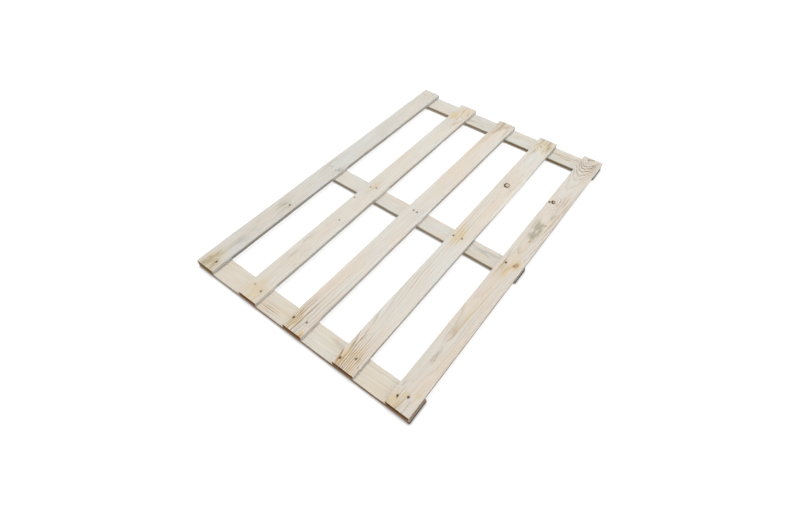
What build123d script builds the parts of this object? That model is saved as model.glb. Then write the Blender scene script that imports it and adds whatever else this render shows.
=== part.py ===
from build123d import *
import os
from math import cos, radians, sin

# A light flat wooden pallet: five long deck boards nailed across three shorter cross boards.
# All sizes are in millimetres.  +X runs along the deck boards, +Y across them and +Z is up.
# The origin is under the middle of the pallet, on the surface that it lies on.

# Overall size
LENGTH = 1200.0
WIDTH = 800.0
DECK_THICKNESS = 15.0
CROSS_THICKNESS = 15.0
TOP = CROSS_THICKNESS + DECK_THICKNESS
EDGE_BREAK = 0.6  # the long arrises are only just broken

# Deck boards, counted from the +Y side:
# where the middle line runs, the board's width, and how far its rear end drifts towards +Y
DECK_BOARDS = {
    1: (364.0, 71.0, 1.0),
    2: (178.0, 70.0, 2.0),
    3: (-2.0, 70.0, -1.0),
    4: (-183.0, 71.0, 3.0),
    5: (-361.5, 73.0, -4.0),
}

# Cross boards, under the deck boards, from the -X end:
# where the middle line runs, the board's width, and how far its +Y end drifts towards +X
CROSS_BOARDS = {
    "front": (-564.0, 72.0, 0.0),
    "middle": (-32.0, 64.0, 5.0),
    "rear": (560.0, 75.0, -3.0),
}

# Wane, where the round outside of the log left the upper -Y arris of a deck board missing:
# the middle of the wane along X, its length, and its width on the top face
WANES = {
    4: (230.0, 460.0, 9.0),
    5: (310.0, 300.0, 8.0),
}
WANE_SLOPE = 55.0  # degrees below the top face
WANE_REACH = 120.0  # length of the cutter down the slope

# Nails: flat heads driven just under the deck face, tips clinched over into the underside
HEAD_DIAMETER = 6.5
HEAD_THICKNESS = 1.2
HEAD_SINK = 0.4
HEAD_EDGE = 0.25
NECK_DIAMETER = 4.2
NECK_HEIGHT = 1.0
SHANK_DIAMETER = 2.8
CLINCH_BEND = 3.0
CLINCH_LEG = 6.0
CLINCH_LIFT = 0.3
TIP_DIAMETER = 0.6
TIP_LENGTH = 3.0
POCKET_OVERCUT = 1.0

# Two nails at each crossing, driven by hand and so uneven: how far along X and along Y
# the left (+Y) and the right nail are from the middle of the crossing, on deck boards 1 to 5
NAILS = {
    "front": [((-2, 13), (-3, -16)), ((11, 16), (4, -16)), ((0, 26), (9, -15)),
              ((-14, 25), (8, -10)), ((-5, 20), (8, -4))],
    "middle": [((2, 11), (-4, -14)), ((5, 15), (14, -4)), ((7, 10), (6, -4)),
               ((-5, 25), (-1, -5)), ((1, 16), (2, -10))],
    "rear": [((6, 14), (-8, -15)), ((3, 3), (-6, -22)), ((-4, 16), (7, -13)),
             ((-12, 8), (-6, -19)), ((-24, 21), (-2, -16))],
}
NAIL_SIDES = ("left", "right")

# Each tip is hammered over across the grain of the cross board, left nails towards +X and
# right nails towards -X, and no two boards' nails lie quite the same way
CLINCH_HEADING = {"left": 0.0, "right": 180.0}
CLINCH_TURN = 8.0


def deck_line(number, x):
    """Where a deck board's middle line is, at a place along X."""
    middle, _, drift = DECK_BOARDS[number]
    return middle + drift * x / LENGTH


def cross_line(name, y):
    """Where a cross board's middle line is, at a place along Y."""
    middle, _, drift = CROSS_BOARDS[name]
    return middle + drift * y / WIDTH


def sawn_board(corners, thickness, underside):
    """A flat board with the given outline, and its four long arrises just broken."""
    board = extrude(Plane.XY.offset(underside) * Polygon(*corners, align=None), thickness)
    return chamfer(board.edges().sort_by(SortBy.LENGTH)[-4:], EDGE_BREAK)


def wane_cut(number):
    """The long shallow scoop that a wane takes off a deck board's upper -Y arris."""
    middle, length, width = WANES[number]
    slope = radians(WANE_SLOPE)
    depth = width * sin(slope)
    radius = ((length / 2) ** 2 + depth**2) / (2 * depth)
    arris = Vector(middle, deck_line(number, middle) - DECK_BOARDS[number][1] / 2, TOP)
    outwards = Vector(0, -sin(slope), cos(slope))
    down_slope = Vector(0, -cos(slope), -sin(slope))
    centre = arris + outwards * (radius - depth)
    return Plane(origin=centre, x_dir=(1, 0, 0), z_dir=down_slope) * Cylinder(radius, WANE_REACH)


def deck_board(number):
    """One long board, square at its ends, with its wane if it has one."""
    half = DECK_BOARDS[number][1] / 2
    front = deck_line(number, -LENGTH / 2)
    rear = deck_line(number, LENGTH / 2)
    corners = [
        (-LENGTH / 2, front - half),
        (LENGTH / 2, rear - half),
        (LENGTH / 2, rear + half),
        (-LENGTH / 2, front + half),
    ]
    board = sawn_board(corners, DECK_THICKNESS, CROSS_THICKNESS)
    if number in WANES:
        board -= wane_cut(number)
    return board


def cross_board(name):
    """One short board, square at its ends, lying on the surface under the deck boards."""
    half = CROSS_BOARDS[name][1] / 2
    right = cross_line(name, -WIDTH / 2)
    left = cross_line(name, WIDTH / 2)
    corners = [
        (right - half, -WIDTH / 2),
        (right + half, -WIDTH / 2),
        (left + half, WIDTH / 2),
        (left - half, WIDTH / 2),
    ]
    return sawn_board(corners, CROSS_THICKNESS, 0)


def nail():
    """A clinched nail, upright over the origin, with its bent leg pointing along +X."""
    head_top = TOP - HEAD_SINK
    head_base = head_top - HEAD_THICKNESS
    leg_height = CLINCH_LIFT + SHANK_DIAMETER / 2

    head = Pos(0, 0, head_base) * Cylinder(
        HEAD_DIAMETER / 2, HEAD_THICKNESS, align=(Align.CENTER, Align.CENTER, Align.MIN)
    )
    head = chamfer(head.edges().sort_by(Axis.Z)[-1], HEAD_EDGE)
    neck = Pos(0, 0, head_base) * Cone(
        SHANK_DIAMETER / 2, NECK_DIAMETER / 2, NECK_HEIGHT, align=(Align.CENTER, Align.CENTER, Align.MAX)
    )
    route = FilletPolyline(
        (0, 0, head_base), (0, 0, leg_height), (CLINCH_LEG, 0, leg_height), radius=CLINCH_BEND
    )
    shank = sweep(Plane(origin=route @ 0, z_dir=route % 0) * Circle(SHANK_DIAMETER / 2), route)
    tip = Plane(origin=(CLINCH_LEG, 0, leg_height), z_dir=(1, 0, 0)) * Cone(
        SHANK_DIAMETER / 2, TIP_DIAMETER / 2, TIP_LENGTH, align=(Align.CENTER, Align.CENTER, Align.MIN)
    )
    return head + neck + shank + tip


def nail_pocket(solid):
    """What a nail takes out of the boards: itself, the hole over its head, the slot under its leg."""
    above = Pos(0, 0, TOP - HEAD_SINK - HEAD_THICKNESS) * Cylinder(
        HEAD_DIAMETER / 2,
        HEAD_THICKNESS + HEAD_SINK + POCKET_OVERCUT,
        align=(Align.CENTER, Align.CENTER, Align.MIN),
    )
    slot = Pos(0, 0, -POCKET_OVERCUT) * Box(
        CLINCH_LEG + TIP_LENGTH,
        SHANK_DIAMETER,
        POCKET_OVERCUT + CLINCH_LIFT + SHANK_DIAMETER / 2,
        align=(Align.MIN, Align.CENTER, Align.MIN),
    )
    return solid + above + slot


def nail_places():
    """Each nail's cross board, deck board number and side, and where it stands."""
    for name, crossings in NAILS.items():
        for number, pair in enumerate(crossings, start=1):
            for side, (along, across) in zip(NAIL_SIDES, pair):
                x = cross_line(name, DECK_BOARDS[number][0]) + along
                y = deck_line(number, CROSS_BOARDS[name][0]) + across
                heading = CLINCH_HEADING[side] + CLINCH_TURN * (number - 3)
                yield name, number, side, Pos(x, y, 0) * Rot(0, 0, heading)


one_nail = nail()
one_pocket = nail_pocket(one_nail)
decks = {number: deck_board(number) for number in DECK_BOARDS}
crosses = {name: cross_board(name) for name in CROSS_BOARDS}
nodes = {}

for name, number, side, place in nail_places():
    nodes[f"nail_{name}_{number}_{side}"] = place * one_nail
    decks[number] -= place * one_pocket
    crosses[name] -= place * one_pocket

nodes.update({f"deck_board_{number}": board for number, board in decks.items()})
nodes.update({f"cross_board_{name}": board for name, board in crosses.items()})

os.makedirs("parts", exist_ok=True)
for node, shape in nodes.items():
    export_step(shape, f"parts/{node}.step")
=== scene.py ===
from dataclasses import dataclass, field
from math import atan2, cos, pi, radians, sin

import bpy
import numpy as np
from mathutils import Matrix, Vector


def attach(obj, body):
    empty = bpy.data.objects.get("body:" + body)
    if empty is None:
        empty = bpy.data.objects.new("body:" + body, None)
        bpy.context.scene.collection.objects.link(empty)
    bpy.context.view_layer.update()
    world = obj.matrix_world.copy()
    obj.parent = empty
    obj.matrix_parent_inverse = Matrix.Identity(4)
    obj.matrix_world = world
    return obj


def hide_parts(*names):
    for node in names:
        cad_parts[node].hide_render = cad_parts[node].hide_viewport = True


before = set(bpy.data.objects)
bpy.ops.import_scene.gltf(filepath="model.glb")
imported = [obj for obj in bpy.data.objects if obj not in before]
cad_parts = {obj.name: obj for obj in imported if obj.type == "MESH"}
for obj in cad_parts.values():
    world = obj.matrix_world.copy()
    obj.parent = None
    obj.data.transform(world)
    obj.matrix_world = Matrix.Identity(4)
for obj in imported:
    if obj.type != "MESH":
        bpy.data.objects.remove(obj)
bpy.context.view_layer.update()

# A light flat wooden pallet: five deck boards (1 is on the +Y side) nailed to three cross boards.
# Lengths are in metres.  Each board is described in its own terms: s runs along the board from its
# middle, t across it from its middle line, and h up from its underside.
MM = 0.001
DECKS = (1, 2, 3, 4, 5)
CROSSES = ("front", "middle", "rear")
SIDES = ("left", "right")


# --------------------------------------------------------------------------- camera, light, floor
CAMERA_PLACE = (-0.9517, -0.618, 1.1449)
CAMERA_AZIMUTH = radians(-53.8)
CAMERA_ELEVATION = radians(50.53)
CAMERA_ROLL = radians(1.26)
CAMERA_LENS = 21.23      # in millimetres, and so is the sensor
SENSOR_WIDTH = 36
NEAREST_SEEN = 0.01

# a soft box: its place, its side, its power in watts and its colour
KEY_LIGHT = ((1.0, 0.6, 6.0), 3.2, 330, (1.0, 0.99, 0.975))
FILL_LIGHT = ((0.3, -3.0, 3.0), 3.0, 30, (0.98, 0.99, 1.0))

# heights in the room are sines of the angle above the horizon
ROOM_WHITE_BELOW = 0.30
ROOM_DIM_ABOVE = 0.60
ROOM_GLOW_OVERHEAD = 0.45

FLOOR_HALF = 15.0
FLOOR_GREYS = (0.19, 0.21)
SPECKLE_SCALE = 2.5
FLOOR_ROUGHNESS = 0.9
FLOOR_GLOW = 0.78
CONTACT_REACH = 7 * MM
CONTACT_STEEPNESS = 1.6
CONTACT_SAMPLES = 16


def make_camera():
    """The camera stands over the front right corner, looking down along the deck boards."""
    a, e = CAMERA_AZIMUTH, CAMERA_ELEVATION
    back = Vector((sin(a) * cos(e), -cos(a) * cos(e), sin(e)))
    level = Vector((cos(a), sin(a), 0))
    right = cos(CAMERA_ROLL) * level + sin(CAMERA_ROLL) * back.cross(level)
    up = back.cross(right)
    data = bpy.data.cameras.new("camera")
    data.lens = CAMERA_LENS
    data.sensor_width = SENSOR_WIDTH
    data.clip_start = NEAREST_SEEN
    camera = bpy.data.objects.new("camera", data)
    bpy.context.scene.collection.objects.link(camera)
    turn = Matrix((right, up, back)).transposed().to_4x4()
    camera.matrix_world = Matrix.Translation(CAMERA_PLACE) @ turn
    bpy.context.scene.camera = camera


def area_light(name, place, size, power, colour):
    """A square soft box at a place, turned to face the middle of the pallet."""
    data = bpy.data.lights.new(name, "AREA")
    data.size = size
    data.energy = power
    data.color = colour
    lamp = bpy.data.objects.new(name, data)
    bpy.context.scene.collection.objects.link(lamp)
    lamp.location = place
    lamp.rotation_mode = "QUATERNION"
    lamp.rotation_quaternion = Vector(place).to_track_quat("Z", "Y")


def make_room():
    """Pale surroundings: white up to well above the horizon, and dimmer overhead."""
    world = bpy.data.worlds.new("studio")
    room = Graph(world)
    height = room.split(room.coordinates("Generated"))[2]
    glow = room.span(height, ROOM_WHITE_BELOW, ROOM_DIM_ABOVE, 1.0, ROOM_GLOW_OVERHEAD, smooth=True)
    background = room.add("ShaderNodeBackground", {"Color": (1, 1, 1), "Strength": glow})
    room.add("ShaderNodeOutputWorld", {"Surface": background.outputs[0]})
    bpy.context.scene.world = world


def make_floor():
    """A pale floor that glows by itself except close to what touches it, where the only shadow is."""
    half = FLOOR_HALF
    mesh = bpy.data.meshes.new("floor")
    corners = [(-half, -half, 0), (half, -half, 0), (half, half, 0), (-half, half, 0)]
    mesh.from_pydata(corners, [], [(0, 1, 2, 3)])
    floor = bpy.data.objects.new("floor", mesh)
    bpy.context.scene.collection.objects.link(floor)

    paint = Graph(bpy.data.materials.new("floor_paint"))
    speckle = paint.noise(paint.coordinates("Object"), SPECKLE_SCALE, 3)
    dark, light = FLOOR_GREYS
    colour = paint.mix(speckle, (dark,) * 3, (light,) * 3)
    reach = {"Distance": CONTACT_REACH}
    occlusion = paint.add("ShaderNodeAmbientOcclusion", reach, samples=CONTACT_SAMPLES)
    clear = occlusion.outputs["AO"]
    glow = paint.math("MULTIPLY", paint.math("POWER", clear, CONTACT_STEEPNESS), FLOOR_GLOW)
    paint.finish(colour, FLOOR_ROUGHNESS, Emission_Color=(1, 1, 1), Emission_Strength=glow)
    mesh.materials.append(paint.owner)


def make_studio():
    """A big soft box high over the far side, a weaker one on the right, and the room and floor."""
    area_light("key", *KEY_LIGHT)
    area_light("fill", *FILL_LIGHT)
    bpy.context.scene.view_settings.view_transform = "Standard"
    make_room()
    make_floor()


# --------------------------------------------------------------------------- node graphs
class Graph:
    """A material's or the world's nodes, and short ways to add them.  Most calls give an output socket."""

    def __init__(self, owner):
        self.owner = owner
        owner.use_nodes = True
        self.tree = owner.node_tree
        self.tree.nodes.clear()

    def add(self, kind, inputs=(), **settings):
        node = self.tree.nodes.new(kind)
        for key, value in settings.items():
            setattr(node, key, value)
        for key, value in dict(inputs).items():
            self.put(node.inputs[key], value)
        return node

    def put(self, socket, value):
        """Link a socket to another one, or set it to a number, a vector or an RGB colour."""
        if isinstance(value, bpy.types.NodeSocket):
            self.tree.links.new(value, socket)
        elif socket.type == "RGBA":
            socket.default_value = (*value, 1)
        else:
            socket.default_value = value

    def coordinates(self, which):
        return self.add("ShaderNodeTexCoord").outputs[which]

    def attribute(self, name, output="Fac"):
        return self.add("ShaderNodeAttribute", attribute_name=name).outputs[output]

    def math(self, operation, *values, clamp=False):
        inputs = dict(enumerate(values))
        return self.add("ShaderNodeMath", inputs, operation=operation, use_clamp=clamp).outputs[0]

    def vector(self, operation, *values):
        node = self.add("ShaderNodeVectorMath", dict(enumerate(values)), operation=operation)
        return node.outputs["Value" if operation == "LENGTH" else "Vector"]

    def split(self, vector):
        return self.add("ShaderNodeSeparateXYZ", {0: vector}).outputs

    def join(self, x, y, z):
        return self.add("ShaderNodeCombineXYZ", {0: x, 1: y, 2: z}).outputs[0]

    def noise(self, vector, scale, detail=2.0, rough=0.5):
        """Noise at one scale, or at a scale of its own along each axis."""
        if isinstance(scale, tuple):
            vector = self.vector("MULTIPLY", vector, scale)
            scale = 1.0
        inputs = {"Vector": vector, "Scale": scale, "Detail": detail, "Roughness": rough}
        return self.add("ShaderNodeTexNoise", inputs).outputs[0]

    def span(self, value, low, high, to_low=0.0, to_high=1.0, smooth=False):
        """A value brought from low .. high to to_low .. to_high, and held at the ends."""
        kind = "SMOOTHSTEP" if smooth else "LINEAR"
        inputs = dict(enumerate((value, low, high, to_low, to_high)))
        return self.add("ShaderNodeMapRange", inputs, interpolation_type=kind, clamp=True).outputs[0]

    def ramp(self, value, stops):
        """Greys along a value, from (place, grey) stops."""
        node = self.add("ShaderNodeValToRGB", {0: value})
        elements = node.color_ramp.elements
        while len(elements) < len(stops):
            elements.new(0.5)
        for element, (place, grey) in zip(elements, stops):
            element.position = place
            element.color = (grey, grey, grey, 1)
        return node.outputs["Color"]

    def mix(self, share, a, b, blend="MIX"):
        node = self.add("ShaderNodeMix", {0: share, 6: a, 7: b}, data_type="RGBA", blend_type=blend)
        return node.outputs[2]

    def dim(self, colour, light):
        """A colour times a brightness."""
        return self.mix(1.0, colour, self.join(light, light, light), "MULTIPLY")

    def bump(self, height, depth, strength):
        inputs = {"Height": height, "Distance": depth, "Strength": strength}
        return self.add("ShaderNodeBump", inputs).outputs[0]

    def finish(self, colour, roughness, **others):
        """The shader, with its colour, its roughness and any other of its sockets by name."""
        inputs = {"Base Color": colour, "Roughness": roughness}
        inputs.update({name.replace("_", " "): value for name, value in others.items()})
        shader = self.add("ShaderNodeBsdfPrincipled", inputs)
        self.add("ShaderNodeOutputMaterial", {"Surface": shader.outputs[0]})
        return self.owner


# --------------------------------------------------------------------------- what each board is like
@dataclass
class Look:
    """What one board is like.  A patch is (s, t, half length, half width, strength) on the top face."""

    pith: tuple          # where the tree's centre lay beside the board's middle, (t, h)
    lean: tuple          # how far the pith drifts, (t, h), in a metre of s
    ring: float          # distance between growth rings
    tint: tuple          # the colour of the dry wood between them
    aged: float          # how grey it has gone
    dirt_and_shade: tuple          # how dark the long edges are painted, with dirt and painted shade, at the low and at the high end of s
    shade: tuple         # the colour of that dirt and painted shade
    cut: tuple           # the colour of the end grain
    checks: list         # end splits: (-1 or 1 for the end, t, length)
    # patches where the grain is strong, of grey stain, of resin and of rust
    bold: list = field(default_factory=list)
    grey: list = field(default_factory=list)
    ochre: list = field(default_factory=list)
    rust: list = field(default_factory=list)
    # knots: (s, t, radius, how dark its heart is, how far the grain swells round it)
    # with None for the heart, the knot stays under the face and only bends the grain
    knots: list = field(default_factory=list)
    # dirt and painted shade where each other board crosses, at the top and at the foot of the edge; below
    # 0 is painted light
    crossing: list = field(default_factory=list)
    # the shares of the height over which the dirt and painted shade fade towards the top and towards the
    # foot
    fade: tuple = (0.35, 0.01)
    # how much of the cut colour the ends show at the top and at the foot; a foot darker than the top is
    # painted shade
    ends: tuple = (1.0, 1.0)


BOARDS = {
    "deck_board_1": Look(
        pith=(0.050, -0.035), lean=(0.010, -0.022), ring=0.0034, tint=(0.495, 0.490, 0.462), aged=0.55,
        dirt_and_shade=(0.74, 0.30), shade=(0.125, 0.105, 0.075), cut=(0.135, 0.097, 0.026),
        checks=[(-1, 0.012, 0.045), (1, -0.015, 0.030)],
        bold=[(-0.57, 0.000, 0.05, 0.05, 0.5), (-0.05, 0.0, 0.05, 0.03, 0.5)],
        grey=[(-0.58, -0.01, 0.04, 0.04, 0.55), (-0.285, 0.000, 0.040, 0.014, 0.8),
              (-0.42, 0.005, 0.12, 0.03, 0.15), (-0.024, -0.025, 0.020, 0.009, 0.9)],
        ochre=[(-0.575, -0.004, 0.05, 0.05, 0.85), (-0.565, 0.013, 0.010, 0.006, 1.3),
               (0.57, 0.0, 0.06, 0.05, 0.4)],
        knots=[(-0.2595, -0.0130, 0.0032, 0.9, 2.2)],
        crossing=[(-0.3, 0.0), (-0.6, -0.3), (-0.4, 0.0)],
    ),
    "deck_board_2": Look(
        pith=(-0.020, -0.060), lean=(0.020, 0.030), ring=0.0030, tint=(0.525, 0.505, 0.463), aged=0.25,
        dirt_and_shade=(0.36, 0.36), shade=(0.105, 0.075, 0.045), cut=(0.138, 0.047, 0.007),
        checks=[(-1, -0.020, 0.060), (1, 0.004, 0.050)],
        bold=[(0.52, 0.010, 0.09, 0.05, 1.0), (-0.03, 0.008, 0.05, 0.03, 0.7)],
        grey=[(-0.35, 0.020, 0.08, 0.02, 0.2)],
        ochre=[(0.515, 0.018, 0.030, 0.015, 1.5), (0.56, 0.0, 0.06, 0.05, 0.6),
               (-0.57, 0.0, 0.07, 0.05, 0.8), (-0.02, 0.01, 0.05, 0.03, 0.5)],
        knots=[(-0.2100, -0.0050, 0.0026, 0.5, 2.2), (-0.0990, 0.0260, 0.0026, 0.5, 2.2)],
        crossing=[(-0.8, -0.5)] * 3,
    ),
    "deck_board_3": Look(
        pith=(-0.045, 0.050), lean=(-0.030, 0.006), ring=0.0055, tint=(0.532, 0.506, 0.464), aged=0.15,
        dirt_and_shade=(0.24, 0.40), shade=(0.105, 0.075, 0.045), cut=(0.143, 0.055, 0.010),
        checks=[(-1, 0.022, 0.070), (-1, -0.006, 0.040), (1, 0.016, 0.080)],
        bold=[(-0.575, 0.014, 0.085, 0.024, 3.4), (-0.52, -0.01, 0.12, 0.05, 0.6),
              (0.52, 0.024, 0.09, 0.012, 1.4), (-0.03, 0.0, 0.05, 0.03, 0.6)],
        grey=[(0.58, 0.0, 0.07, 0.06, 0.50)],
        ochre=[(-0.57, 0.018, 0.06, 0.022, 0.8), (0.40, 0.026, 0.18, 0.010, 0.5),
               (0.56, 0.0, 0.07, 0.05, 0.5), (-0.592, -0.027, 0.012, 0.009, 1.6)],
        rust=[(-0.596, -0.029, 0.010, 0.006, 0.7)],
        crossing=[(-0.8, -0.5), (-0.8, -0.5), (-0.7, -0.3)],
    ),
    "deck_board_4": Look(
        pith=(0.060, -0.040), lean=(0.015, -0.018), ring=0.0050, tint=(0.532, 0.509, 0.467), aged=0.10,
        dirt_and_shade=(0.38, 0.00), shade=(0.105, 0.075, 0.045), cut=(0.120, 0.051, 0.012),
        checks=[(-1, 0.018, 0.110), (-1, 0.002, 0.060), (1, -0.012, 0.040)],
        bold=[(-0.58, 0.008, 0.080, 0.034, 3.4), (-0.02, 0.015, 0.06, 0.02, 1.2),
              (-0.3, 0.02, 0.2, 0.015, 0.7)],
        grey=[(0.30, 0.010, 0.15, 0.03, 0.15), (0.58, 0.0, 0.07, 0.06, 0.55)],
        ochre=[(-0.57, 0.022, 0.05, 0.014, 1.0), (-0.57, 0.0, 0.06, 0.05, 0.6),
               (-0.02, 0.010, 0.06, 0.03, 0.8), (0.56, 0.0, 0.07, 0.05, 0.85)],
        rust=[(-0.572, -0.030, 0.004, 0.0022, 1.0), (-0.583, 0.029, 0.012, 0.005, 0.7),
              (0.53, 0.004, 0.02, 0.012, 0.4)],
        knots=[(0.2755, 0.0040, 0.0092, 0.05, 1.2)],
        crossing=[(-0.8, -0.3), (-0.8, 0.5), (-0.7, 0.7)],
    ),
    "deck_board_5": Look(
        pith=(0.010, -0.050), lean=(-0.012, 0.035), ring=0.0046, tint=(0.518, 0.487, 0.440), aged=0.12,
        dirt_and_shade=(0.50, 0.04), shade=(0.090, 0.060, 0.030), cut=(0.115, 0.049, 0.006),
        checks=[(-1, -0.014, 0.040), (1, 0.010, 0.060)],
        bold=[(0.54, 0.002, 0.07, 0.05, 2.0), (0.31, -0.014, 0.04, 0.02, 1.6),
              (-0.03, 0.016, 0.05, 0.02, 1.8), (-0.30, 0.0, 0.12, 0.03, 0.5),
              (-0.58, 0.018, 0.04, 0.022, 1.5), (0.14, -0.028, 0.10, 0.008, 1.0)],
        grey=[(0.164, 0.005, 0.026, 0.013, 1.15), (0.118, 0.003, 0.022, 0.012, 1.15),
              (0.138, -0.007, 0.030, 0.007, 1.1), (-0.42, 0.000, 0.050, 0.010, 0.25),
              (0.20, -0.004, 0.09, 0.02, 0.3), (0.57, 0.0, 0.06, 0.05, 0.3)],
        ochre=[(-0.060, -0.002, 0.040, 0.009, 1.3), (-0.26, 0.004, 0.14, 0.012, 0.55),
               (-0.585, 0.020, 0.035, 0.024, 1.0), (-0.538, -0.023, 0.012, 0.009, 0.8),
               (-0.556, 0.004, 0.014, 0.010, 0.8), (-0.03, 0.006, 0.09, 0.04, 0.5),
               (-0.026, -0.016, 0.020, 0.011, 1.9), (0.55, 0.0, 0.08, 0.05, 0.2)],
        rust=[(-0.026, -0.016, 0.012, 0.008, 1.2), (0.087, -0.002, 0.007, 0.004, 0.9),
              (0.178, -0.011, 0.007, 0.004, 1.1), (0.292, 0.002, 0.012, 0.008, 0.6),
              (0.006, -0.026, 0.010, 0.006, 0.5), (-0.44, 0.004, 0.030, 0.008, 0.4),
              (-0.574, 0.018, 0.010, 0.005, 0.8)],
        knots=[(0.2985, 0.0175, 0.0065, 0.75, 4.0), (0.2920, 0.0285, 0.0040, 0.8, 2.0),
               (0.610, 0.006, 0.030, None, 1.1)],
        crossing=[(0, 0.5), (0, 0.6), (-1.0, -0.7)],
    ),
    "cross_board_front": Look(
        pith=(0.030, -0.045), lean=(0.020, 0.024), ring=0.0048, tint=(0.535, 0.508, 0.450), aged=0.10,
        dirt_and_shade=(1.30, 0.60), fade=(0.60, 0.01), shade=(0.190, 0.074, 0.005),
        cut=(0.060, 0.040, 0.018), ends=(1.0, 0.75),
        checks=[(1, 0.008, 0.05), (-1, -0.016, 0.04)],
        bold=[(0.105, -0.018, 0.028, 0.012, 2.0), (-0.118, 0.022, 0.020, 0.009, 1.6)],
        ochre=[(0.0, 0.0, 0.5, 0.05, 0.25)],
        rust=[(-0.399, 0.0, 0.005, 0.060, 1.5)],
        crossing=[(1.1, 0.65)] * 5,
    ),
    "cross_board_middle": Look(
        pith=(-0.040, -0.030), lean=(0.014, 0.020), ring=0.0032, tint=(0.525, 0.505, 0.462), aged=0.35,
        dirt_and_shade=(0.95, 0.75), fade=(0.32, 0.36), shade=(0.195, 0.120, 0.035),
        cut=(0.040, 0.033, 0.015),
        checks=[(1, -0.010, 0.03), (-1, 0.012, 0.05)],
        bold=[(-0.25, 0.0, 0.08, 0.03, 0.6)],
        grey=[(-0.27, 0.014, 0.06, 0.02, 0.45)],
        ochre=[(-0.27, -0.016, 0.06, 0.02, 0.5)],
    ),
    "cross_board_rear": Look(
        pith=(0.015, -0.055), lean=(-0.022, 0.018), ring=0.0034, tint=(0.515, 0.495, 0.450), aged=0.25,
        dirt_and_shade=(1.06, 0.75), fade=(0.30, 0.36), shade=(0.170, 0.090, 0.010),
        # the rear board's ends darken towards the foot: painted shade
        cut=(0.040, 0.036, 0.024), ends=(0.3, 1.5),
        checks=[(1, 0.014, 0.04), (-1, 0.000, 0.05)],
        bold=[(-0.27, 0.004, 0.050, 0.014, 2.6), (0.1, 0.01, 0.05, 0.01, 0.6)],
        grey=[(0.05, 0.0, 0.3, 0.03, 0.2)],
        ochre=[(-0.27, 0.0, 0.06, 0.03, 0.4)],
    ),
}

# how dark the left and the right nail of each crossing has gone: 0 is bright wire, 1 is black
NAIL_DARK = {
    "front": {1: (0.30, 0.80), 2: (0.25, 0.60), 3: (0.90, 0.60), 4: (0.90, 0.75), 5: (0.95, 1.00)},
    "middle": {1: (0.25, 0.20), 2: (0.45, 0.50), 3: (0.75, 0.70), 4: (0.75, 0.65), 5: (1.00, 0.65)},
    "rear": {1: (0.05, 0.10), 2: (0.20, 0.25), 3: (0.05, 0.05), 4: (0.30, 0.30), 5: (0.30, 0.35)},
}


# --------------------------------------------------------------------------- wood
# noises: the scale along s, t and h, the detail and the roughness
SWAY = ((1.6, 11.0, 11.0), 2, 0.5)
RIPPLE = ((11.0, 70.0, 70.0), 2, 0.5)
UNEVEN = ((3.0, 26.0, 26.0), 2, 0.5)
DRIFT = ((4.0, 16.0, 16.0), 3, 0.55)
MOTTLE = ((7.0, 40.0, 40.0), 4, 0.6)
RAGGED = ((24.0, 150.0, 150.0), 4, 0.6)
THREAD = ((45.0, 330.0, 330.0), 3, 0.6)
STREAK = ((14.0, 260.0, 260.0), 2, 0.5)
FIBRE = ((9.0, 900.0, 900.0), 3, 0.6)
FLECK = ((60.0, 1100.0, 1100.0), 2, 0.6)
SAW_WANDER = ((5.0, 14.0, 14.0), 2, 0.5)

# how far the first two bend the rings, the distance between saw marks, and how deep the relief is
SWAY_REACH = 40 * MM
RIPPLE_REACH = 3.5 * MM
SAW_PITCH = 4.2 * MM
RELIEF = 0.16 * MM
RAYS_PER_RADIAN = 60.0

# one growth ring from its start to its end: pale earlywood, then dark latewood with a sharp end
RING_GREYS = [(0.0, 0.0), (0.50, 0.03), (0.80, 0.40), (0.92, 1.0), (1.0, 0.0)]

# how warm and cool wood differ from a board's tint
WARM = (1.02, 0.955, 0.90)
COOL = (0.985, 1.01, 1.03)

LATEWOOD = (0.29, 0.19, 0.085)
BOLD_LATEWOOD = (0.17, 0.10, 0.040)
VEIN_BROWN = (0.14, 0.075, 0.03)
FLECK_BROWN = (0.24, 0.15, 0.08)
WEATHER_GREY = (0.36, 0.365, 0.34)
STAIN_OCHRE = (0.50, 0.372, 0.182)
STAIN_GREY = (0.19, 0.185, 0.135)
STAIN_RUST = (0.24, 0.105, 0.050)
# paler wood where light is painted: on the wane, partly fresh wood, and on long edges over some crossings
PALE_PAINTED_LIGHT = (0.70, 0.675, 0.61)
HEART_PALE = (0.48, 0.42, 0.32)
HEART_DEEP = (0.41, 0.33, 0.23)
KNOT_RIM = (0.050, 0.036, 0.024)
KNOT_HALO = (0.38, 0.27, 0.16)
NAIL_DIRT = (0.085, 0.050, 0.028)
# pale worn wood on the upper arrises, with a painted highlight there
WORN_ARRIS_HIGHLIGHT = (0.60, 0.565, 0.50)
# painted shade inside the end splits' cracks
SPLIT_SHADE = (0.07, 0.04, 0.02)


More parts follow.
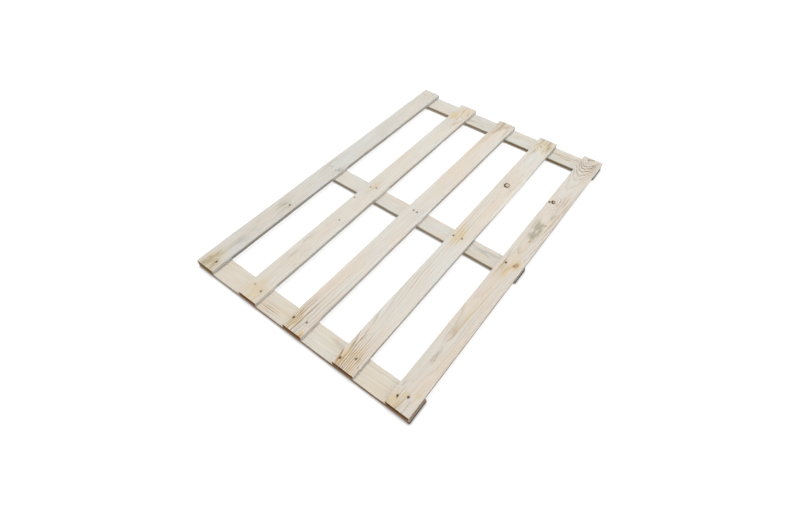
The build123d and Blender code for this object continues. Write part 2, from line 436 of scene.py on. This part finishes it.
class Wood(Graph):
    """Sawn softwood, coloured through the board's own body: rings round the pith, knots, stains, and
    painted shade and light on its edges.
    """

    def __init__(self, name, look, seed):
        super().__init__(bpy.data.materials.new("wood_" + name))
        self.look = look
        self.seed = seed
        place = self.attribute("grain", "Vector")
        self.s, self.t, self.h = self.split(place)
        self.cell = self.vector("ADD", place, (3.7 * seed, 1.9 * seed, 5.3 * seed))
        self.patch = self.attribute("bold")
        self.ripple = self.field(RIPPLE)
        self.drift = self.field(DRIFT)
        self.fibre = self.field(FIBRE)
        self.ragged = self.field(RAGGED)
        self.mottle = self.field(MOTTLE)

    def field(self, kind):
        return self.noise(self.cell, *kind)

    def stray(self, noise, reach, value):
        """A value moved by a noise, up to half of the reach either way."""
        return self.math("MULTIPLY_ADD", self.math("SUBTRACT", noise, 0.5), reach, value)

    def from_pith(self, own, lean, at):
        """How far a place lies from the pith, which drifts sideways along the board."""
        return self.math("SUBTRACT", own, self.math("MULTIPLY_ADD", self.s, lean, at))

    def grow(self):
        """The wood's distance from the pith, uneven as the tree grew, and swelling round each knot."""
        look = self.look
        self.beside = self.from_pith(self.t, look.lean[0], look.pith[0])
        self.above = self.from_pith(self.h, look.lean[1], look.pith[1])
        radius = self.vector("LENGTH", self.join(self.beside, self.above, 0.0))
        radius = self.stray(self.field(SWAY), SWAY_REACH, radius)
        radius = self.stray(self.ripple, RIPPLE_REACH, radius)
        self.knots = []
        for s, t, size, dark, swirl in look.knots:
            along = self.math("MULTIPLY", self.math("SUBTRACT", self.s, s), 0.8)
            across = self.math("SUBTRACT", self.t, t)
            off = self.vector("LENGTH", self.join(along, across, 0.0))
            near = self.stray(self.ripple, size * 0.5, off)
            share = self.math("POWER", self.math("DIVIDE", near, 2.6 * size), 2.0)
            swell = self.math("EXPONENT", self.math("MULTIPLY", share, -1.0))
            radius = self.math("MULTIPLY_ADD", swell, -swirl * size, radius)
            if dark is not None:
                slant = self.math("SUBTRACT", across, along)
                heavy = self.span(slant, -size, 0.8 * size, 0.15, 1.0)
                self.knots.append((near, heavy, size, dark))
        self.radius = radius

    def lay_rings(self):
        """Latewood: it differs from ring to ring, and shows as lines more strongly in some places."""
        count = self.math("DIVIDE", self.radius, self.look.ring)
        which = {"W": self.math("FLOOR", count)}
        each = self.add("ShaderNodeTexWhiteNoise", which, noise_dimensions="1D").outputs["Value"]
        late = self.ramp(self.math("FRACT", count), RING_GREYS)
        self.late = self.math("MULTIPLY", late, self.span(each, 0, 1, 0.35, 1.0))
        faint = self.span(self.field(UNEVEN), 0.3, 0.7, 0.12, 0.34)
        bold = self.math("ADD", faint, self.math("MULTIPLY", self.patch, 0.75))
        self.line = self.math("MULTIPLY", self.late, bold, clamp=True)

    def clean_wood(self):
        """The base colour, drifting slowly along the board, with rings and the fibres' fine streaks."""
        warm, cool = [tuple(np.multiply(self.look.tint, by).tolist()) for by in (WARM, COOL)]
        colour = self.mix(self.span(self.drift, 0.35, 0.65), warm, cool)
        strong = self.math("MULTIPLY", self.patch, 0.5, clamp=True)
        colour = self.mix(self.line, colour, self.mix(strong, LATEWOOD, BOLD_LATEWOOD))
        streak = self.field(STREAK)
        vein = self.math("MULTIPLY", self.span(streak, 0.60, 0.66), self.patch)
        colour = self.mix(self.math("MULTIPLY", vein, 0.35, clamp=True), colour, VEIN_BROWN)
        fine = self.span(self.fibre, 0.25, 0.75, 0.93, 1.05)
        coarse = self.span(streak, 0.3, 0.7, 0.955, 1.035)
        colour = self.dim(colour, self.math("MULTIPLY", fine, coarse))
        fleck = self.span(self.field(FLECK), 0.66, 0.74)
        return self.mix(self.math("MULTIPLY", fleck, 0.25), colour, FLECK_BROWN)

    def stains_and_painted_light(self, colour):
        """Weather and stains, with ragged edges that follow the grain, and then painted light: the wane
        paler, partly as fresh wood, and the long edges lighter over some crossings.
        """
        thread = self.span(self.field(THREAD), 0.32, 0.68, 0.62, 1.18)
        broad = self.math("MULTIPLY", self.math("SUBTRACT", self.mottle, 0.5), 1.2)
        wisp = self.math("ADD", self.math("SUBTRACT", self.ragged, 0.5), broad)

        def stain(name, colour, shade, most, rag=0.9):
            source = self.attribute(name)
            spread = self.math("MULTIPLY_ADD", wisp, rag, source)
            body = self.span(spread, 0.15, 1.0, 0, most, smooth=True)
            mask = self.math("MULTIPLY", body, self.span(source, 0.0, 0.15))
            return self.mix(self.math("MULTIPLY", mask, thread), colour, shade)

        greyed = self.span(self.mottle, 0.42, 0.75, 0.0, 0.55 * self.look.aged)
        colour = self.mix(greyed, colour, WEATHER_GREY)
        colour = stain("ochre", colour, STAIN_OCHRE, 0.62)
        colour = stain("grey", colour, STAIN_GREY, 0.65, 2.0)
        colour = stain("rust", colour, STAIN_RUST, 0.65)
        # painted light: the wane paler, partly as fresh wood, and the long edges over some crossings
        return self.mix(self.math("MULTIPLY", self.attribute("pale_and_painted_light"), 0.75), colour, PALE_PAINTED_LIGHT)

    def knotted(self, colour):
        """Knots: a pale heart with its own fine rings, in a dark rim that is heavier on one side."""
        for near, heavy, size, dark in self.knots:
            ring = self.math("FRACT", self.math("DIVIDE", near, size * 0.24))
            heart = self.mix(ring, HEART_PALE, HEART_DEEP)
            off_rim = self.math("SUBTRACT", near, size * (0.86 - 0.25 * dark))
            rim = self.math("ABSOLUTE", off_rim)
            rim = self.math("MULTIPLY_ADD", heavy, -size * (0.26 + 0.2 * dark), rim)
            rim = self.span(rim, -0.02 * size, 0.12 * size, 1.0, 0.0)
            heart = self.mix(rim, heart, KNOT_RIM)
            halo = self.span(near, size * 2.0, size * 1.0, 0.0, 0.25, smooth=True)
            colour = self.mix(halo, colour, KNOT_HALO)
            colour = self.mix(self.span(near, size * 1.15, size * 1.0, 0.0, 1.0), colour, heart)
        return colour

    def used_with_painted_light(self, colour):
        """Dirt and rust where the nails went in, long edges darkened by dirt and painted shade, upper
        arrises paler with wear and a painted highlight, end splits darkened with painted shade.
        """
        nail = self.span(self.attribute("nail"), 0.05, 0.9, 0, 0.85)
        colour = self.mix(nail, colour, NAIL_DIRT)
        cloudy = self.span(self.mottle, 0.3, 0.7, 0.78, 1.08)
        # the long edges' dirt and painted shade
        dirt_and_shade = self.math("MULTIPLY", self.attribute("dirt_and_shade"), cloudy, clamp=True)
        colour = self.mix(dirt_and_shade, colour, self.look.shade)
        # the upper arrises paler: partly worn wood, partly a painted highlight
        worn_highlight = self.span(self.ragged, 0.35, 0.65, 0.1, 0.55)
        colour = self.mix(self.math("MULTIPLY", self.attribute("arris_highlight"), worn_highlight), colour, WORN_ARRIS_HIGHLIGHT)
        # end splits painted dark: painted shade in the cracks
        return self.mix(self.math("MULTIPLY", self.attribute("split"), 0.85), colour, SPLIT_SHADE)

    def ended(self, colour):
        """End grain: dark, with rings, blotches and rays out from the pith."""
        around = self.math("ARCTAN2", self.above, self.beside)
        angle = self.math("MULTIPLY", around, RAYS_PER_RADIAN)
        ray = self.span(self.noise(self.join(angle, 0.0, 0.37 * self.seed), 1.0, 2), 0.60, 0.70)
        light = self.math("MULTIPLY_ADD", self.late, -0.45, 1.0)
        light = self.math("MULTIPLY", light, self.span(self.mottle, 0.3, 0.7, 0.75, 1.2))
        light = self.math("MULTIPLY", light, self.math("MULTIPLY_ADD", ray, -0.35, 1.0))
        return self.mix(self.attribute("end"), colour, self.dim(self.look.cut, light))

    def relief(self):
        """Raised latewood, fibres and the saw's cross marks."""
        wander = self.math("MULTIPLY_ADD", self.field(SAW_WANDER), 0.012, self.s)
        saw = self.math("SINE", self.math("MULTIPLY", wander, 2 * pi / SAW_PITCH))
        saw = self.math("MULTIPLY", saw, self.span(self.drift, 0.35, 0.7, 0.05, 0.35))
        height = self.math("MULTIPLY_ADD", self.late, 0.5, self.math("MULTIPLY", self.fibre, 0.8))
        height = self.math("ADD", height, saw)
        height = self.math("MULTIPLY_ADD", self.ragged, 0.5, height)
        return self.bump(height, RELIEF, 0.9)

    def material(self):
        self.grow()
        self.lay_rings()
        colour = self.ended(self.used_with_painted_light(self.knotted(self.stains_and_painted_light(self.clean_wood()))))
        dull = self.span(self.fibre, 0.2, 0.8, 0.70, 0.88)
        rough = self.math("ADD", dull, self.math("MULTIPLY", self.line, -0.10))
        return self.finish(colour, rough, Normal=self.relief(), Specular_IOR_Level=0.06)


# --------------------------------------------------------------------------- nail wire
# from a bright nail to a black one
WIRE = [(0.46, 0.43, 0.38), (0.09, 0.075, 0.065)]
WIRE_RUST = [(0.22, 0.12, 0.06), (0.045, 0.022, 0.012)]
WIRE_RELIEF = 0.08 * MM


def steel():
    """Bright nail wire gone dull, with rust in patches, and far gone on some nails."""
    g = Graph(bpy.data.materials.new("nail_wire"))
    place = g.coordinates("Object")
    dark = g.attribute("dark")
    patch = g.span(g.math("MULTIPLY_ADD", dark, 0.22, g.noise(place, 420, 4, 0.6)), 0.50, 0.72)
    colour = g.mix(patch, g.mix(dark, *WIRE), g.mix(dark, *WIRE_RUST))
    scratch = g.noise(place, (900, 3500, 900), 2, 0.6)
    rough = g.math("ADD", g.span(patch, 0, 1, 0.42, 0.85), g.span(scratch, 0.3, 0.7, -0.05, 0.08))
    metal = g.span(patch, 0, 1, 0.9, 0.1)
    height = g.math("ADD", g.noise(place, 1200, 3), g.math("MULTIPLY", patch, 0.6))
    return g.finish(colour, rough, Normal=g.bump(height, WIRE_RELIEF, 0.7), Metallic=metal)


# --------------------------------------------------------------------------- reading the frame
def vertices(node):
    """A CAD node's vertices in the row frame."""
    return np.array([v.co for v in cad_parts[node].data.vertices])


class Plan:
    """Where a board lies, read from its CAD node: its ends, middle line, width and height."""

    def __init__(self, node):
        co = vertices(node)
        self.node = node
        self.crosswise = node.startswith("cross")
        a, b = (1, 0) if self.crosswise else (0, 1)
        low, high = co[:, a].min(), co[:, a].max()
        first = co[co[:, a] < low + MM / 10, b]
        last = co[co[:, a] > high - MM / 10, b]
        self.length = high - low
        self.width = first.max() - first.min()
        self.middle = (first.max() + first.min() + last.max() + last.min()) / 4
        self.drift = (last.max() + last.min() - first.max() - first.min()) / 2
        self.base = co[:, 2].min()
        self.thickness = co[:, 2].max() - self.base

    def to_board(self, x, y):
        """(s, t) of a place in the row frame."""
        s, across = (y, x) if self.crosswise else (x, y)
        return s, across - self.middle - self.drift * s / self.length

    def to_frame(self, p):
        """Points (s, t, h) of the board as points in the row frame."""
        across = self.middle + self.drift * p[:, 0] / self.length + p[:, 1]
        order = (across, p[:, 0]) if self.crosswise else (p[:, 0], across)
        return np.stack([*order, self.base + p[:, 2]], 1)


def nail_facts(node):
    """A nail's head centre, the way its bent tip points, its top and its foot, from its CAD node."""
    co = vertices(node)
    top, foot = co[:, 2].max(), co[:, 2].min()
    head = co[co[:, 2] > top - 0.05 * MM]
    centre = (head.max(0) + head.min(0)) / 2
    leg = co[co[:, 2] < foot + 3 * MM]
    tip = leg[np.argmax(np.hypot(*(leg[:, :2] - centre[:2]).T))]
    return centre[0], centre[1], atan2(tip[1] - centre[1], tip[0] - centre[0]), top, foot


# --------------------------------------------------------------------------- board meshes
# how far apart a board's points are along s, t and h, and closer together near its ends and nails
STEP_S, STEP_T, STEP_H = 4.5 * MM, 1.3 * MM, 1.8 * MM
END_STEPS = np.array([0.0, 0.25, 0.6, 1.0, 1.6, 2.5, 4.0]) * MM
NAIL_STEPS = np.array([0.0, 0.9, 1.8, 2.6, 3.5, 4.5, 5.5, 7.0]) * MM
SPLIT_STEP = 0.45 * MM
LEAST_STEP = 0.2 * MM

# how far arrises are rounded: usually, at least and at most, and how much that strays
ARRIS = 0.9 * MM
ARRIS_LEAST, ARRIS_MOST = 0.45 * MM, 3.4 * MM
ARRIS_STRAY = 0.35 * MM

# how far in from an arris, a cut end and a long edge their colours reach: the painted highlight, the end
# grain, and the dirt and painted shade
ARRIS_BAND, END_BAND, SIDE_BAND = 2.4 * MM, 0.9 * MM, 0.8 * MM

# chips out of the arrises: how many, how wide, and their lengths and depths in millimetres
CHIPS = 26
CHIP_WIDTH = 6 * MM
CHIP_LENGTHS = (4, 16)
CHIP_DEPTHS = (0.4, 1.9)

# uneven sawing: its depth in millimetres, and its wave lengths along s, t and h
FACE_WAVES = [(0.22, (0.11, 0.06, 5.0))]
EDGE_WAVES = [(0.55, (0.30, 5.0, 0.05)), (0.12, (0.03, 5.0, 0.02))]
CUT_WAVES = [(0.35, (5.0, 0.02, 0.01)), (0.18, (5.0, 0.004, 0.003))]

# end splits: the groove's depth, its notch in the cut end, and how far and how wide the grain bends
SPLIT_DEPTH = 5.0 * MM
SPLIT_NOTCH = 6.0 * MM
SPLIT_BEND = 0.9 * MM
SPLIT_BESIDE = 6 * MM

# nail dents: the depth and the half width round a head and along a clinched leg, and the leg's run
HEAD_DENT, HEAD_DENT_WIDTH = 0.9 * MM, 4.0 * MM
LEG_DENT, LEG_DENT_WIDTH = 1.7 * MM, 2.4 * MM
LEG_DENT_RUN = (-1 * MM, 9 * MM)

# the dirt there: how far it spreads along and across the grain
DIRT_ALONG, DIRT_ACROSS = 5.0 * MM, 2.8 * MM

# where the log's outside was: middle and length along the board, greatest width, and how much paler it is
# painted, partly fresh wood and partly painted light
WANES = {"deck_board_4": (0.230, 0.460, 9 * MM, 1.0), "deck_board_5": (0.310, 0.300, 8 * MM, 0.2)}
WANE_SLOPE = radians(55)
BARK_EASE = 1.5 * MM

# a deck board sags between the cross boards: the middle one's place, and the free length beside it
SAG = 1.1 * MM
SAG_MIDDLE = -0.03
SAG_CLEAR = 0.03
SAG_SPAN = 0.5

# how far from a crossing's middle its own painted shade, painted light and dirt reach, and the length over
# which they fade out
CROSSING_REACH = 48 * MM
CROSSING_EASE = 22 * MM


def waves(points, lengths, rng, count=9):
    """Smooth unevenness with about the given wave lengths along s, t and h, from about -1 to 1."""
    total = np.zeros(len(points))
    for _ in range(count):
        pace = rng.normal(size=3) / np.array(lengths)
        total += np.sin(2 * pi * (points @ pace) + rng.uniform(0, 2 * pi))
    return total / np.sqrt(count / 2) / 1.6


def stations(length, step, extra=()):
    """Places along a length, about a step apart, with the extra places put in."""
    half = length / 2
    even = half - END_STEPS[-1]
    inner = np.linspace(-even, even, max(2, round(2 * even / step)))
    inside = [x for x in extra if abs(x) < even]
    places = np.sort(np.concatenate([-half + END_STEPS, inner, half - END_STEPS, inside]))
    keep = np.concatenate([[True], np.diff(places) > LEAST_STEP])
    keep[-1] = True
    return places[keep]


def box_skin(sizes):
    """The faces of a box of grid points, and which (i, j, k) each of its surface points is."""
    skin = np.zeros(sizes, bool)
    skin[[0, -1]] = True
    skin[:, [0, -1]] = True
    skin[:, :, [0, -1]] = True
    index = np.full(sizes, -1)
    index[skin] = np.arange(skin.sum())

    def quads(grid, flip):
        corners = (grid[:-1, :-1], grid[1:, :-1], grid[1:, 1:], grid[:-1, 1:])
        order = corners[::-1] if flip else corners
        return np.stack([c.ravel() for c in order], 1)

    faces = [
        quads(index[:, :, -1], False), quads(index[:, :, 0], True),
        quads(index[:, 0, :], False), quads(index[:, -1, :], True),
        quads(index[0], True), quads(index[-1], False),
    ]
    return np.argwhere(skin), np.concatenate(faces)


def blobs(p, patches):
    """How strongly a list of patches (s, t, half length, half width, strength) shows at each point."""
    total = np.zeros(len(p))
    for s, t, long, wide, strength in patches:
        off = ((p[:, 0] - s) / long) ** 2 + ((p[:, 1] - t) / wide) ** 2
        total = np.maximum(total, strength * np.exp(-off))
    return total


class Board:
    """One board's mesh in the making: points spread over a plain box, and where each of them goes.

    p are the points as they start and q where they are so far, both (s, t, height from the middle).
    The steps in mesh() run in a fixed order, because each draws from the same random numbers.
    """

    def __init__(self, plan, look, nails, seed):
        self.plan = plan
        self.look = look
        self.nails = nails
        self.rng = np.random.default_rng(seed)
        self.deck = not plan.crosswise
        near_nails = [s + sign * step for s, _, _, _ in nails for step in NAIL_STEPS for sign in (-1, 1)]
        near_splits = [t + k * SPLIT_STEP for _, t, _ in look.checks for k in (-1, 0, 1)]
        ss = stations(plan.length, STEP_S, near_nails)
        ts = stations(plan.width, STEP_T, near_splits)
        hs = stations(plan.thickness, STEP_H)
        ijk, self.faces = box_skin((len(ss), len(ts), len(hs)))
        self.p = np.stack([ss[ijk[:, 0]], ts[ijk[:, 1]], hs[ijk[:, 2]]], 1)
        self.half = np.array([plan.length, plan.width, plan.thickness]) / 2
        self.flat = self.p / self.half
        self.top = self.p[:, 2] > self.half[2] - 1e-9
        self.foot = self.p[:, 2] < -self.half[2] + 1e-9

    def wear_arrises(self):
        """Arrises: rounded a little, more where the edge is bruised or chipped."""
        p, half, rng = self.p, self.half, self.rng
        worn = ARRIS + ARRIS_STRAY * waves(p, (0.08, 0.2, 0.2), rng)
        for _ in range(CHIPS):
            chip_s = rng.uniform(-half[0], half[0])
            corner = rng.choice([-1, 1], 2) * half[1:]
            long = rng.uniform(*CHIP_LENGTHS) * MM
            gap = np.hypot(p[:, 1] - corner[0], p[:, 2] - corner[1])
            share = np.exp(-(((p[:, 0] - chip_s) / long) ** 2)) * (gap < CHIP_WIDTH)
            worn += rng.uniform(*CHIP_DEPTHS) * MM * share
        worn = np.clip(worn, ARRIS_LEAST, ARRIS_MOST)[:, None]
        inner = np.clip(p, -half + worn, half - worn)
        out = p - inner
        reach = np.linalg.norm(out, axis=1, keepdims=True)
        self.q = inner + out / np.maximum(reach, 1e-9) * worn

        # nearness to an arris, for the painted highlight along the upper arrises
        arris_highlight = np.clip(1 - (half - np.abs(p)) / ARRIS_BAND, 0, 1)
        self.arris_highlight = np.clip(np.sort(arris_highlight, axis=1)[:, 1], 0, 1)
        self.at_end = np.clip(1 - (half[0] - np.abs(self.q[:, 0])) / END_BAND, 0, 1)
        self.at_side = np.clip(1 - (half[1] - np.abs(self.q[:, 1])) / SIDE_BAND, 0, 1)

    def uneven(self, parts):
        """How far each point strays, never below 0, from (depth, wave lengths) parts."""
        return sum(np.abs(waves(self.p, lengths, self.rng)) * depth * MM for depth, lengths in parts)

    def saw(self):
        """Uneven sawing: faces, long edges and cut ends stray inwards, never outwards."""
        q, flat = self.q, self.flat
        q[:, 2] -= np.sign(flat[:, 2]) * self.uneven(FACE_WAVES) * (np.abs(flat[:, 2]) > 0.8)
        q[:, 1] -= np.sign(flat[:, 1]) * self.uneven(EDGE_WAVES) * np.abs(flat[:, 1]) ** 3
        q[:, 0] -= np.sign(flat[:, 0]) * self.uneven(CUT_WAVES) * self.at_end

    def cut_wane(self):
        """The wane: wood beyond the log's outside is missing."""
        p, half, rng = self.p, self.half, self.rng
        self.bark = np.zeros(len(p))
        self.wane_painted_light = 0
        if self.plan.node not in WANES:
            return
        middle, long, wide, self.wane_painted_light = WANES[self.plan.node]
        depth = wide * sin(WANE_SLOPE)
        along = (p[:, 0] - middle) / (long / 2)
        bevel = depth * (1 - along**2) + 0.5 * MM * waves(p, (0.05, 0.5, 0.5), rng)
        outward = np.array([0, -sin(WANE_SLOPE), cos(WANE_SLOPE)])
        past = (self.q - [0, -half[1], half[2]]) @ outward + bevel
        past += 0.35 * MM * waves(p, (0.02, 0.006, 0.006), rng) * (bevel > 0)
        past = np.where(bevel > 0, np.maximum(past, 0), 0)
        self.q -= past[:, None] * outward
        self.bark = np.clip(past / BARK_EASE, 0, 1)

    def open_splits(self):
        """End splits: a narrow groove that closes along the grain."""
        p, q, flat = self.p, self.q, self.flat
        self.split = np.zeros(len(p))
        for end, t, long in self.look.checks:
            from_end = self.half[0] - end * p[:, 0]
            at_cut = from_end < LEAST_STEP
            open_share = np.clip(1 - from_end / long, 0, 1) ** 0.7
            on_line = np.abs(p[:, 1] - t) < LEAST_STEP
            q[:, 2] -= np.where(on_line & self.top, SPLIT_DEPTH * open_share, 0)
            q[:, 0] -= np.where(on_line & at_cut, end * SPLIT_NOTCH, 0) * (np.abs(flat[:, 2]) < 0.99)
            self.split = np.maximum(self.split, on_line * (open_share > 0) * (self.top | at_cut) * 1.0)
            bend = SPLIT_BEND * waves(p * [1, 0, 0], (0.03, 1, 1), self.rng)
            bend = bend * np.exp(-((p[:, 1] - t) / SPLIT_BESIDE) ** 2)
            q[:, 1] += bend * (np.abs(flat[:, 1]) < 0.95) * (from_end > 3 * MM)

    def dent(self):
        """Nail dents: crushed round the heads on top, and along the bent tips underneath."""
        self.nail = np.zeros(len(self.p))
        for s, t, heading, dark in self.nails:
            ds, dt = self.p[:, 0] - s, self.p[:, 1] - t
            if self.deck:
                gap = np.hypot(ds, dt)
                self.q[:, 2] -= np.where(self.top, HEAD_DENT / (1 + (gap / HEAD_DENT_WIDTH) ** 6), 0)
                mark = dark * np.exp(-((ds / DIRT_ALONG) ** 2 + (dt / DIRT_ACROSS) ** 2))
                self.nail = np.maximum(self.nail, mark * self.top)
            else:
                way = np.array([cos(heading), sin(heading)])
                run = np.clip(ds * way[0] + dt * way[1], *LEG_DENT_RUN)
                gap = np.hypot(ds - run * way[0], dt - run * way[1])
                self.q[:, 2] += np.where(self.foot, LEG_DENT / (1 + (gap / LEG_DENT_WIDTH) ** 5), 0)
                mark = np.exp(-((gap / DIRT_ACROSS) ** 2))
                self.nail = np.maximum(self.nail, mark * self.foot)

    def sag(self):
        """A deck board sags a little between the cross boards."""
        if self.deck:
            free = np.clip((np.abs(self.p[:, 0] - SAG_MIDDLE) - SAG_CLEAR) / SAG_SPAN, 0, 1)
            self.q[:, 2] -= SAG * np.sin(pi * free) ** 2 * self.rng.uniform(0.3, 1)

    def edge_dirt_and_shade(self, rise):
        """How dark each point of the long edges is painted, with dirt and painted shade, and below 0 how
        much painted light it gets.
        """
        s = self.p[:, 0]
        low, high = self.look.dirt_and_shade
        ease, foot = self.look.fade
        dirt_and_shade = low + (high - low) * (0.5 + s / self.plan.length)
        # fading towards the top, so the edge is darker towards its foot: painted shade there
        dirt_and_shade *= np.clip((0.97 - rise) / ease, 0, 1) * np.clip(rise / foot, 0, 1)
        # over each crossing, painted shade from the top to the foot of the edge, and painted light where
        # it goes below 0
        pairs = zip(self.nails[0::2], self.nails[1::2])
        for (left, right), (upper, lower) in zip(pairs, self.look.crossing):
            off = np.abs(s - (left[0] + right[0]) / 2)
            share = np.clip((CROSSING_REACH - off) / CROSSING_EASE, 0, 1)
            share = share * share * (3 - 2 * share)
            dirt_and_shade += share * (lower + (upper - lower) * rise - dirt_and_shade)
        return dirt_and_shade * self.at_side * (1 - self.bark)

    def colouring(self, place):
        """What the wood material reads at each point."""
        p, look = self.p, self.look
        top_side = self.flat[:, 2] > 0
        rise = place[:, 2] / self.plan.thickness
        dirt_and_shade = self.edge_dirt_and_shade(rise)
        end_top, end_foot = look.ends
        return {
            # a painted highlight on the upper half of the arrises, partly pale worn wood
            "arris_highlight": self.arris_highlight * np.clip(2 * rise - 1, 0, 1) * (1.0 if self.deck else 0.4),
            "end": self.at_end * np.clip(end_foot + (end_top - end_foot) * rise, 0, 1),
            "nail": self.nail,
            "split": self.split,
            # dirt and painted shade on the long edges
            "dirt_and_shade": np.maximum(dirt_and_shade, 0),
            # painted light on the wane, partly fresh wood, and where the edge's dirt and shade goes below
            # 0
            "pale_and_painted_light": np.maximum(self.wane_painted_light * self.bark, -dirt_and_shade),
            "bold": blobs(p, look.bold),
            "grey": blobs(p, look.grey) * top_side,
            "ochre": np.maximum(blobs(p, look.ochre) * top_side, self.bark * 0.35),
            "rust": blobs(p, look.rust) * top_side,
        }

    def mesh(self):
        """The board with worn arrises, uneven sawn faces, end splits, nail dents and its wane."""
        self.wear_arrises()
        self.saw()
        self.cut_wane()
        self.open_splits()
        self.dent()
        self.sag()
        up = [0, 0, self.half[2]]
        place = self.p + up
        faces = self.faces[:, ::-1] if self.plan.crosswise else self.faces
        mesh = bpy.data.meshes.new(self.plan.node)
        mesh.from_pydata(self.plan.to_frame(self.q + up).tolist(), [], faces.tolist())
        mesh.shade_smooth()
        grain = mesh.attributes.new("grain", "FLOAT_VECTOR", "POINT")
        grain.data.foreach_set("vector", place.astype(np.float32).ravel())
        for key, values in self.colouring(place).items():
            attribute = mesh.attributes.new(key, "FLOAT", "POINT")
            attribute.data.foreach_set("value", values.astype(np.float32))
        return mesh


# --------------------------------------------------------------------------- nail meshes
# the head's outline in millimetres: (depth below its top, radius)
HEAD_PROFILE = [
    (0.03, 1.1), (0.05, 2.1), (0.12, 2.75), (0.30, 3.12), (0.55, 3.25), (1.0, 3.22), (1.2, 3.0),
    (1.2, 2.1), (1.7, 1.75), (2.3, 1.4),
]
OVAL = 0.02
HOLLOW = 0.07 * MM
HOLLOW_RINGS = (1, 2, 3)     # these rings of the head are beaten hollow in places
ROUND_RINGS = 2              # its last rings are as round as the wire, and the others are oval
SHANK = 1.4 * MM
BEND = 3.0 * MM
LEG = 6.0 * MM
TIP = 3.0 * MM
AROUND = 20


def nail_rings(top, foot):
    """Rings from head to point: (distance out, height, the angle the wire runs at, radius)."""
    low = foot + SHANK
    rings = [(0.0, top - z * MM, -pi / 2, r * MM) for z, r in HEAD_PROFILE]
    rings += [(0.0, z, -pi / 2, SHANK) for z in np.linspace(top - 4 * MM, low + BEND, 5)]
    for turn in np.linspace(0, pi / 2, 7)[1:]:
        rings.append((BEND - BEND * cos(turn), low + BEND - BEND * sin(turn), turn - pi / 2, SHANK))
    rings.append((LEG, low, 0.0, SHANK))
    rings.append((LEG + TIP * 0.55, low, 0.0, SHANK * 0.72))
    rings.append((LEG + TIP * 0.96, low, 0.0, SHANK * 0.25))
    return rings


def make_nail(facts, seed):
    """A clinched nail as one turned and bent skin: hammered head, plain shank, bent leg, cut point."""
    rng = np.random.default_rng(seed)
    x, y, heading, top, foot, dark = facts
    rings = nail_rings(top, foot)
    around = np.arange(AROUND) * 2 * pi / AROUND
    lean = rng.uniform(0, 2 * pi)
    oval = 1 - OVAL * (1 + np.cos(2 * (around - lean)))
    hollow = HOLLOW * np.abs(np.sin(3 * around + lean))
    points = [(0.0, 0.0, top)]
    for n, (u, z, way, r) in enumerate(rings):
        wide = r * oval if n < len(HEAD_PROFILE) - ROUND_RINGS else np.full(AROUND, r)
        across = wide * np.cos(around)
        side = wide * np.sin(around)
        beaten = hollow * (n in HOLLOW_RINGS)
        points += list(zip(u - across * sin(way), side, z + across * cos(way) - beaten))
    points.append((LEG + TIP, 0.0, foot + SHANK))

    beside = [(k, (k + 1) % AROUND) for k in range(AROUND)]
    last = 1 + (len(rings) - 1) * AROUND
    faces = [(0, 1 + after, 1 + k) for k, after in beside]
    for a in range(1, last, AROUND):
        b = a + AROUND
        faces += [(a + k, a + after, b + after, b + k) for k, after in beside]
    faces += [(last + k, last + after, len(points) - 1) for k, after in beside]

    points = np.array(points)
    turn = np.array([[cos(heading), -sin(heading)], [sin(heading), cos(heading)]])
    points[:, :2] = points[:, :2] @ turn.T + [x, y]
    mesh = bpy.data.meshes.new("nail")
    mesh.from_pydata(points.tolist(), [], faces)
    mesh.shade_smooth()
    attribute = mesh.attributes.new("dark", "FLOAT", "POINT")
    attribute.data.foreach_set("value", np.full(len(points), dark, np.float32))
    return mesh


# --------------------------------------------------------------------------- putting it together
def put(name, mesh, material, node):
    """A finished piece in the scene, riding the pallet and standing for its CAD node."""
    mesh.materials.append(material)
    piece = bpy.data.objects.new(name, mesh)
    bpy.context.scene.collection.objects.link(piece)
    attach(piece, "root")
    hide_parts(node)


def nails_of(plan, facts):
    """The nails through a board, in its own terms: (s, t, the way the tip points, how dark it is)."""
    own = plan.node.split("_")[-1]
    nails = []
    for name, (x, y, heading, _, _, dark) in facts.items():
        if own in name.split("_"):
            turned = pi / 2 - heading if plan.crosswise else heading
            nails.append((*plan.to_board(x, y), turned, dark))
    return nails


make_camera()
make_studio()

nail_wire = steel()
facts = {}
for cross in CROSSES:
    for number in DECKS:
        for side, dark in zip(SIDES, NAIL_DARK[cross][number]):
            node = f"nail_{cross}_{number}_{side}"
            facts[node] = (*nail_facts(node), dark)
            put("wire_" + node, make_nail(facts[node], len(facts)), nail_wire, node)

for seed, (node, look) in enumerate(BOARDS.items(), start=1):
    plan = Plan(node)
    mesh = Board(plan, look, nails_of(plan, facts), seed).mesh()
    put("sawn_" + node, mesh, Wood(node, look, seed).material(), node)
